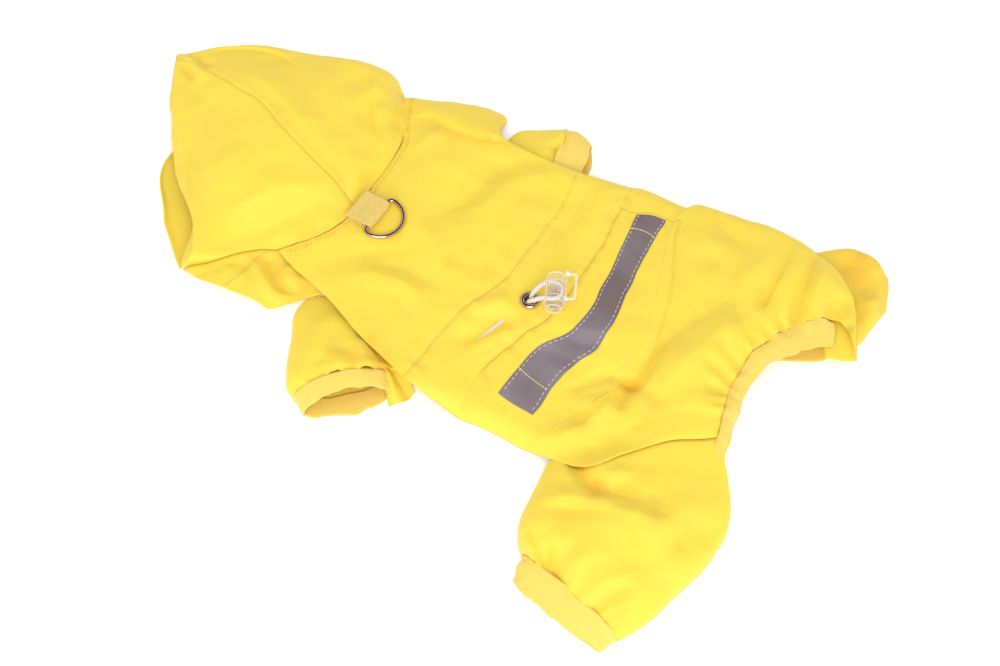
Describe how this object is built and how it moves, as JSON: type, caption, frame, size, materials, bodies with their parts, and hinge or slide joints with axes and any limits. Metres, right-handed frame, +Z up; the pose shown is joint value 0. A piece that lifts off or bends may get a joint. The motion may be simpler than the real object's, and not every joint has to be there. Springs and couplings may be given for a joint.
{
  "type": "dog raincoat",
  "caption": "Yellow dog raincoat with hood, short elastic-cuffed legs, waist draw cord with clear lock, grey reflective strip and a leash ring, laid flat on its belly.",
  "frame": {"origin": "middle of the coat's outline, on the surface it lies on", "axes": "+Y towards the tail, +X towards the dog's left side, +Z up out of the back"},
  "size_m": [0.2874, 0.4372, 0.0293],
  "materials": {
    "yellow_cloth": "thin coated woven cloth, soft satin",
    "yellow_elastic": "matte gathered band",
    "yellow_webbing": "matte woven webbing",
    "reflective_tape": "grey satin retroreflective tape",
    "nickel_wire": "bright nickel plate",
    "white_cord": "braided",
    "clear_plastic": "clear moulded"
  },
  "bodies": {
    "coat": {"yoke_panel": "yellow_cloth", "waist_casing": "yellow_cloth", "rump_panel": "yellow_cloth", "pocket_patch": "yellow_cloth", "reflective_strip": "reflective_tape", "tail_band": "yellow_elastic", "tail_band_under": "yellow_elastic", "belly_panel": "yellow_cloth", "hood_right_panel": "yellow_cloth", "hood_left_panel": "yellow_cloth", "hood_under_layer": "yellow_cloth", "chest_panel": "yellow_cloth", "front_leg_left": "yellow_cloth", "front_cuff_left": "yellow_elastic", "front_leg_right": "yellow_cloth", "front_cuff_right": "yellow_cloth", "hind_leg_left": "yellow_cloth", "hind_cuff_left": "yellow_elastic", "hind_leg_right": "yellow_cloth", "leash_tab": "yellow_webbing", "eyelet": "nickel_wire", "draw_cord": "white_cord", "cord_lock": "clear_plastic"},
    "ring": {"d_ring": "nickel_wire"}
  },
  "joints": [
    {"name": "ring_swing", "type": "hinge", "parent": "coat", "child": "ring", "pos_m": [-0.00675, -0.04855, 0.01879], "axis": [1, 0, 0], "range_deg": [0, 150]}
  ]
}
